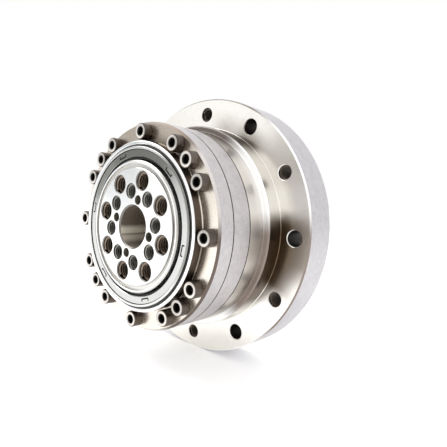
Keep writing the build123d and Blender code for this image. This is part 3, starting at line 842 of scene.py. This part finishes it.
@dataclass
class BearingRings:
    """The two halves of the split outer ring, and the screws through them."""

    body_r: float = 35.5
    seam: float = 0.22
    rear_low: float = 27.8
    split: float = 35.8
    face: float = 42.1
    edge: float = 0.7
    bore_r: float = 26.4
    groove_r: float = 28.83
    groove_half: float = 2.43
    lip_face: float = 45.6
    lip_in: float = 27.5
    lip_out: float = 28.7
    lip_edge: float = 0.3
    seal_floor: float = 41.0
    screw_circle_r: float = 31.9
    screw_length: float = 20.0
    head_r: float = 2.75
    head: float = 3.0
    head_edge: float = 0.36
    knurl: float = 0.05
    socket_r: float = 1.62
    socket_edge: float = 0.25
    shank_r: float = 1.5
    hexagon: float = 2.5
    hex_depth: float = 1.7

    def rear_profile(self) -> Profile:
        """Half section of the rear ring."""
        body, seam, split = self.body_r, self.seam, self.split
        return (
            (self.groove_r, split), (self.bore_r, split - self.groove_half), (self.bore_r, self.rear_low),
            (body - seam, self.rear_low), (body, self.rear_low + seam), (body, split - seam),
            (body - seam, split),
        )

    def front_profile(self) -> Profile:
        """Half section of the front ring with its lip."""
        body, seam, split, face, top = self.body_r, self.seam, self.split, self.face, self.lip_face
        edge, lip, lip_in, lip_out = self.edge, self.lip_edge, self.lip_in, self.lip_out
        return (
            (self.groove_r, split), (body - seam, split), (body, split + seam), (body, face - edge),
            (body - edge, face), (lip_out, face, 0.35), (lip_out, top - lip), (lip_out - lip, top),
            (lip_in + lip, top), (lip_in, top - lip), (lip_in, self.seal_floor), (self.bore_r, self.seal_floor),
            (self.bore_r, split + self.groove_half),
        )

    def zone_at(self, radius: float, station: float) -> Zone:
        """Dark seams at the joints, a painted dark reflection on the lip wall, satin outside, an edge band and
        turned faces.
        """
        if abs(radius - self.lip_out) < NEAR and self.face < station < self.lip_face - self.lip_edge:
            return Zone.HOLE
        if station > self.lip_face - self.lip_edge:
            return Zone.STEP
        if radius > self.body_r - self.edge and self.face - self.edge < station < self.face:
            return Zone.MOUTH
        inside = self.body_r - self.seam < radius < self.body_r
        seam = any(abs(station - joint) < self.seam for joint in (self.rear_low, self.split))
        if inside and seam:
            return Zone.EDGE
        outside = self.body_r - (self.edge if station > self.split + self.seam else NEAR)
        return Zone.OTHER if radius > outside else Zone.MAIN

    def screw(self, shape: Shape) -> None:
        """Adds a socket head cap screw that stands on its seat at height 0 of the shape's place."""
        edge, top, bottom = self.head_edge, self.head, -self.screw_length
        stages = (
            (self.shank_r - edge, bottom, 0.0), (self.shank_r, bottom + edge, 0.0), (self.shank_r, 0.0, 0.0),
            (self.head_r - edge / 2, 0.0, 0.0), (self.head_r, edge / 2, self.knurl),
            (self.head_r, top - edge, self.knurl), (self.head_r - edge * 0.4, top - edge * 0.3, 0.0),
            (self.head_r - edge, top, 0.0), (self.socket_r, top, 0.0),
        )
        *sides, mouth = [shape.loop(radius, height, SCREW_STEPS, ripple) for radius, height, ripple in stages]
        # Painted shade: the shank and the head's sides take the darker finish.
        shape.zone = Zone.EDGE
        shape.face(sides[0])
        for low, high in zip(sides, sides[1:]):
            shape.band(low, high)
        shape.zone = Zone.MAIN
        shape.band(sides[-1], mouth)
        # Painted shade: the hex socket is near black.
        shape.zone = Zone.HOLE
        throat = shape.hexagon(self.hexagon, top - self.socket_edge)
        floor = shape.hexagon(self.hexagon, top - self.hex_depth)
        shape.band(mouth, throat)
        shape.band(throat, floor)
        shape.face(floor)
        shape.zone = Zone.MAIN

    def build(self, shop: Workshop) -> None:
        """Makes and dresses both rings and the screws."""
        finishes = [Finish.RING_FACE, Finish.LIP_WALL, Finish.SEAM, Finish.RING_OUTSIDE, Finish.OUTPUT,
                    Finish.RING_EDGE]
        for side, profile in (("rear", self.rear_profile()), ("front", self.front_profile())):
            ring = Shape()
            ring.turned(profile, zone_at=self.zone_at)
            shop.dress(ring.finish(f"{side}_ring"), finishes, "housing", "ring_steel", f"bearing_{side}_ring")
        screws = Shape()
        for quarter in even_turns(4):
            for angle in (0.0, 30.0, 45.0, 60.0):
                turn = Matrix.Rotation(math.radians(quarter + angle), 4, "Z")
                screws.place = turn @ Matrix.Translation((self.screw_circle_r, 0.0, self.face))
                self.screw(screws)
        shop.dress(screws.finish("ring_screws"), [Finish.SCREWS, Finish.SOCKETS, Finish.SCREW_SIDES], "housing",
                   "screw_steel", "flange_screws")


@dataclass
class ShaftSeal:
    """Steel case and rubber of the shaft seal."""

    bore_r: float = 27.5
    land_r: float = 22.3
    floor: float = 41.2
    face: float = 46.0
    coat: float = 0.65
    sheet: float = 0.6
    sleeve_end: float = 42.2
    inner_r: float = 23.4
    step_r: float = 25.8
    step: float = 0.35
    mark_length: float = 3.7
    mark_width: float = 1.1
    mark_depth: float = 0.22
    mark_turn: float = 49.0
    mark_wall: float = 0.45
    mark_count: int = 6
    mark_draft: float = 0.04
    crease: float = 0.25
    inner_curl: float = 0.2
    gap: float = 0.05
    web_r: float = 24.6
    lip_root_r: float = 23.5
    lip: Profile = ((23.5, 43.0), (23.5, 43.9, 0.2), (23.8, 44.5, 0.2), (22.9, 44.9, 0.25))
    lip_edge: float = 43.5

    def mark(self, shape: Shape, turn: float, grow: float, station: float) -> list[int]:
        """Adds the outline of one pressed mark, a thin bracket along the ring that opens outwards."""
        middle = (self.inner_r + self.step_r) / 2
        half_l, half_w = self.mark_length / 2 + grow, self.mark_width / 2 + grow
        line_l, line_w = half_l - self.mark_wall - 2 * grow, self.mark_wall + 2 * grow - half_w
        corners = ((-half_l, -half_w), (half_l, -half_w), (half_l, half_w), (line_l, half_w),
                   (line_l, line_w), (-line_l, line_w), (-line_l, half_w), (-half_l, half_w))
        flat = [polar(middle + across, math.radians(turn) + along / middle) for along, across in corners]
        return shape.outline(flat, station)

    def case(self) -> Shape:
        """Stepped steel case with its marks."""
        shape = Shape()
        outer, band, sheet = self.bore_r - self.coat, self.face - self.step, self.sheet
        joggle, crease = self.step_r + sheet / 2, self.step_r + self.crease
        profile = (
            (self.inner_r + self.inner_curl, band), (self.inner_r, band - self.inner_curl),
            (self.inner_r, band - sheet), (joggle, band - sheet), (joggle, self.face - sheet),
            (outer - sheet, self.face - sheet), (outer - sheet, self.sleeve_end), (outer, self.sleeve_end),
            (outer, self.face, 0.25), (crease, self.face, 0.1), (crease, band - self.crease / 2),
            (self.step_r, band - self.crease / 2), (self.step_r, band),
        )
        corners = rounded(profile)
        loops = [shape.loop(radius, station) for radius, station in corners]
        for index, loop in enumerate(loops[:-1]):
            (radius, station), (next_r, next_station) = corners[index:index + 2]
            # Painted shade: the crease walls take the dark finish.
            if station > band - self.crease and radius > self.step_r - NEAR:
                in_crease = next_r < crease + NEAR and next_station < self.face - self.step / 2
                shape.zone = Zone.HOLE if in_crease else Zone.EDGE
            shape.band(loop, loops[index + 1])
        shape.zone = Zone.MAIN
        marks = []
        for turn in even_turns(self.mark_count, self.mark_turn):
            rim = self.mark(shape, turn, 0.0, band)
            low = self.mark(shape, turn, -self.mark_draft, band - self.mark_depth)
            # Painted shade: the walls of each mark take the dark finish.
            shape.zone = Zone.HOLE
            shape.band(rim, low)
            shape.sheet(low, [])
            shape.zone = Zone.MAIN
            marks.append(rim)
        shape.sheet(loops[-1], [loops[0]] + marks)
        return shape

    def rubber(self) -> Shape:
        """Rubber coat, web and lip."""
        shape = Shape()
        coat_r = self.bore_r - self.gap
        inside = self.bore_r - self.coat + self.gap
        web = self.floor + self.sheet
        shape.turned((
            (coat_r, self.floor, 0.2), (coat_r, self.face - self.sheet, 0.25),
            (inside, self.face - self.sheet, 0.1), (inside, web, 0.3), (self.web_r, web, 0.3), *self.lip,
            (self.land_r + self.gap, self.lip_edge), (self.lip_root_r, self.floor),
        ))
        return shape

    def build(self, shop: Workshop) -> None:
        """Makes and dresses the seal."""
        shop.dress(self.case().finish("seal_face"), [Finish.SEAL_STEEL, Finish.SEAM, Finish.SEAL_RIM], "housing",
                   "seal_steel", "seal_case")
        shop.dress(self.rubber().finish("seal_rubber"), [Finish.RUBBER], "housing", "rubber_black", "seal_lip")


@dataclass
class OutputFlange:
    """Output flange with its bore, bolt circles and threads."""

    face: float = 46.4
    rear: float = 29.0
    bore_r: float = 7.0
    bore_edge: float = 0.5
    boss_r: float = 19.9
    groove_floor: float = 45.4
    rim_r: float = 21.3
    land_r: float = 22.3
    shoulder: float = 40.2
    ring_r: float = 25.6
    split: float = 35.8
    groove_half: float = 2.43
    groove_r: float = 23.17
    edge: float = 0.25
    land_edge: float = 0.45
    mouth: float = 0.35
    small_mouth: float = 0.12
    big: Hole = Hole(16.0, even_turns(8, 30.0), 3.0, face, 34.4, mouth, through=False, pitch=1.0)
    small: Hole = Hole(12.0, even_turns(8, 7.5), 2.55, face, rear, small_mouth, pitch=0.8)
    pins: Hole = Hole(9.4, even_turns(4, 75.0), 1.52, face, rear, small_mouth, zone=Zone.OTHER)
    run_out: float = 1.0
    bolt_tip: float = 38.5

    def profile(self) -> Profile:
        """Half section of the flange."""
        edge, face, rear, land = self.edge, self.face, self.rear, self.land_edge
        bore, bore_edge, ring, half = self.bore_r, self.bore_edge, self.ring_r, self.groove_half
        return (
            (bore + bore_edge, face), (self.boss_r - edge, face), (self.boss_r, face - edge),
            (self.boss_r, self.groove_floor, 0.2), (self.rim_r, self.groove_floor, 0.2), (self.rim_r, face, 0.12),
            (self.land_r - land, face), (self.land_r, face - land), (self.land_r, self.shoulder),
            (ring, self.shoulder), (ring, self.split + half), (self.groove_r, self.split),
            (ring, self.split - half), (ring, rear + edge), (ring - edge, rear), (bore + bore_edge, rear),
            (bore, rear + bore_edge), (bore, face - bore_edge),
        )

    def zone_at(self, radius: float, station: float) -> Zone:
        """The bore has a finish of its own; its mouth, the groove and the outer edge of the face take darker
        finishes as painted shade.
        """
        if self.boss_r - NEAR < radius < self.rim_r + NEAR and station > self.groove_floor - NEAR:
            return Zone.STEP
        if radius > self.land_r - self.land_edge and station > self.face - self.land_edge:
            return Zone.STEP
        if self.bore_r + NEAR < radius < self.bore_r + self.bore_edge and station > self.face - self.bore_edge:
            return Zone.MOUTH
        return Zone.EDGE if radius < self.bore_r + NEAR else Zone.MAIN

    def build(self, shop: Workshop) -> None:
        """Makes and dresses the flange and its threads."""
        shape = Shape()
        shape.turned(self.profile(), (self.big, self.small, self.pins), self.zone_at)
        finishes = [Finish.OUTPUT, Finish.DRILLED, Finish.BORED, Finish.REAMED, Finish.GROOVE, Finish.MOUTH]
        shop.dress(shape.finish("output_plate"), finishes, "output", "output_steel", "output_flange")
        ridges = Shape()
        ridges.thread(self.big, self.big.end + self.run_out)
        ridges.zone = Zone.HOLE
        ridges.thread(self.small, self.bolt_tip)
        shop.dress(ridges.finish("output_thread_ridges"), [Finish.THREADS, Finish.FINE_THREADS], "output",
                   "output_steel")


@dataclass
class InnerParts:
    """CAD nodes whose shapes stay, by the finish that they get."""

    nodes: dict[Finish, tuple[str, ...]] = field(default_factory=lambda: {
        Finish.SPLINE: ("circular_spline", "flexspline_clamp_ring"),
        Finish.SCREWS: ("circular_spline_screws", "flexspline_bolts", "rub_plate_screws"),
        Finish.SPRING: ("seal_garter_spring", "hub_snap_ring", "rub_plate"),
        Finish.RUBBER: ("body_o_ring", "mounting_o_ring"),
        Finish.CUP: ("flexspline",),
        Finish.RACES: ("dowel_pins", "cross_rollers", "wave_inner_race", "wave_balls", "wave_outer_race"),
        Finish.CAGE: ("roller_spacers", "wave_cage"),
        Finish.HUB: ("wave_plug", "oldham_ring", "input_hub"),
    })

    def build(self, shop: Workshop) -> None:
        """Paints every node that keeps its shape."""
        for finish, nodes in self.nodes.items():
            for node in nodes:
                shop.paint(node, finish)


@dataclass(frozen=True)
class Patch:
    """A dark surface of the room that the steel mirrors, in degrees.

    Its bearing counts from straight out of the output face towards the camera's side.
    """

    bearing: float
    height: float
    half_width: float
    half_height: float
    soft: float
    strength: float
    color: Color = (0.1, 0.075, 0.05)


@dataclass
class Studio:
    """Pale floor, soft light, the white room round them and the camera of the photograph."""

    floor_level: float = -0.049
    floor_size: float = 6.0
    floor_cells: int = 8
    floor_tones: tuple[Color, Color] = ((0.95, 0.95, 0.95), (0.98, 0.98, 0.98))
    floor_glow: float = 0.2
    room_tones: tuple[Color, Color] = ((0.8, 0.79, 0.78), (1.2, 1.2, 1.21))
    lamp_place: Place = (-0.45, -0.2, 0.7)
    lamp_aim: Place = (0.0, -0.025, 0.0)
    lamp_size: float = 0.6
    lamp_watts: float = 3.5
    camera_turn: float = -2.1
    camera_place: Place = (109.2, 17.3, 81.4)
    camera_right: Place = (0.752, 0.0962, -0.6522)
    camera_ahead: Place = (-0.6447, -0.0993, -0.758)
    camera_near: float = 0.005
    output_face: float = 46.4
    focal_px: float = 399.58
    photo_px: float = 447.0
    sensor: float = 36.0
    patches: tuple[Patch, ...] = (
        Patch(-23.0, -3.0, 11.0, 9.0, 5.0, 0.95),
        Patch(34.0, -16.0, 20.0, 18.0, 6.0, 0.95),
        Patch(31.0, 18.0, 9.0, 4.0, 3.0, 0.6),
        Patch(-38.0, 33.0, 15.0, 8.0, 5.0, 0.9),
        Patch(-57.0, 9.0, 6.0, 3.5, 2.5, 0.5),
        Patch(-139.0, -10.0, 22.0, 22.0, 8.0, 0.85),
    )

    def to_row(self, place: Place, offset: float = 0.0) -> Vector:
        """Turns a place or direction of the camera fit into the row frame.

        Args:
            place: Right, up and outward from the output face.
            offset: Station of the origin that the place counts from, or 0 for a direction.

        Returns:
            The same in the row frame, in the fit's own unit.
        """
        turned = Matrix.Rotation(math.radians(self.camera_turn), 3, "Z") @ Vector(place)
        return Vector((turned.x, -(turned.z + offset), turned.y))

    def camera(self) -> None:
        """Makes the camera at the photograph's place and angle."""
        data = bpy.data.cameras.new("photo_camera")
        data.sensor_width = self.sensor
        data.lens = self.focal_px / self.photo_px * self.sensor
        data.clip_start = self.camera_near
        camera = put_in_scene("photo_camera", data)
        right = self.to_row(self.camera_right).normalized()
        back = -self.to_row(self.camera_ahead).normalized()
        up = back.cross(right).normalized()
        right = up.cross(back)
        turn = Matrix((right, up, back)).transposed().to_4x4()
        camera.matrix_world = Matrix.Translation(self.to_row(self.camera_place, self.output_face) * MM) @ turn
        bpy.context.scene.camera = camera

    def floor(self) -> None:
        """Makes the pale floor."""
        shape = Shape()
        shape.place = AXIS_LEVEL.inverted() @ Matrix.Scale(MM, 4)
        half, cells = self.floor_size / 2 / MM, self.floor_cells
        lines = [half * (2 * step / cells - 1) for step in range(cells + 1)]
        grid = [[shape.add(x, y, self.floor_level / MM) for x in lines] for y in lines]
        for near, far in zip(grid, grid[1:]):
            for cell in range(cells):
                shape.face((near[cell], near[cell + 1], far[cell + 1], far[cell]))
        floor = shape.finish("studio_floor")
        s = Shader("floor_paper")
        fibre = s.noise(s.where(), 40.0, 4.0, 0.6)
        tone = s.mix(fibre, *self.floor_tones)
        s.set(Base_Color=tone, Roughness=0.8, Emission_Color=WHITE, Emission_Strength=self.floor_glow)
        floor.data.materials.append(s.material)

    def light(self) -> None:
        """Makes the soft box that looks at the unit."""
        data = bpy.data.lights.new("top_box", "AREA")
        data.shape = "SQUARE"
        data.size = self.lamp_size
        data.energy = self.lamp_watts
        lamp = put_in_scene("top_box", data)
        lamp.location = self.lamp_place
        aim = Vector(self.lamp_aim) - Vector(self.lamp_place)
        lamp.rotation_euler = aim.to_track_quat("-Z", "Y").to_euler()

    def world(self) -> None:
        """Makes the white room, with the warm dark surfaces that the polished steel mirrors."""
        world = bpy.data.worlds.new("white_room")
        bpy.context.scene.world = world
        world.use_nodes = True
        tree = NodeTree(world.node_tree, "BACKGROUND")
        x, y, z = tree.split(tree.node("ShaderNodeTexCoord", output="Generated"))
        bearing = x.math("ARCTAN2", y * -1.0) * math.degrees(1.0)
        height = z.math("ARCSINE") * math.degrees(1.0)
        room = tree.mix(z.ramp(-0.6, 0.5), *self.room_tones)
        for patch in self.patches:
            across = (bearing - patch.bearing).near_zero(patch.half_width, patch.soft)
            upright = (height - patch.height).near_zero(patch.half_height, patch.soft)
            room = tree.mix(across * upright * patch.strength, room, patch.color)
        seen = tree.node("ShaderNodeLightPath", output="Is Camera Ray")
        tree.set(Color=tree.mix(seen, room, WHITE), Strength=1.0)

    def build(self) -> None:
        """Makes the whole studio."""
        self.camera()
        self.floor()
        self.world()
        self.light()


def main() -> None:
    logging.basicConfig(level=logging.INFO, format="%(name)s: %(message)s")
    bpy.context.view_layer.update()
    bpy.context.scene.view_settings.view_transform = "Standard"
    shop = Workshop()
    for part in (MountingHousing(), BearingRings(), ShaftSeal(), OutputFlange(), InnerParts()):
        log.info("building %s", type(part).__name__)
        part.build(shop)
    Studio().build()


if __name__ == "__main__":
    main()
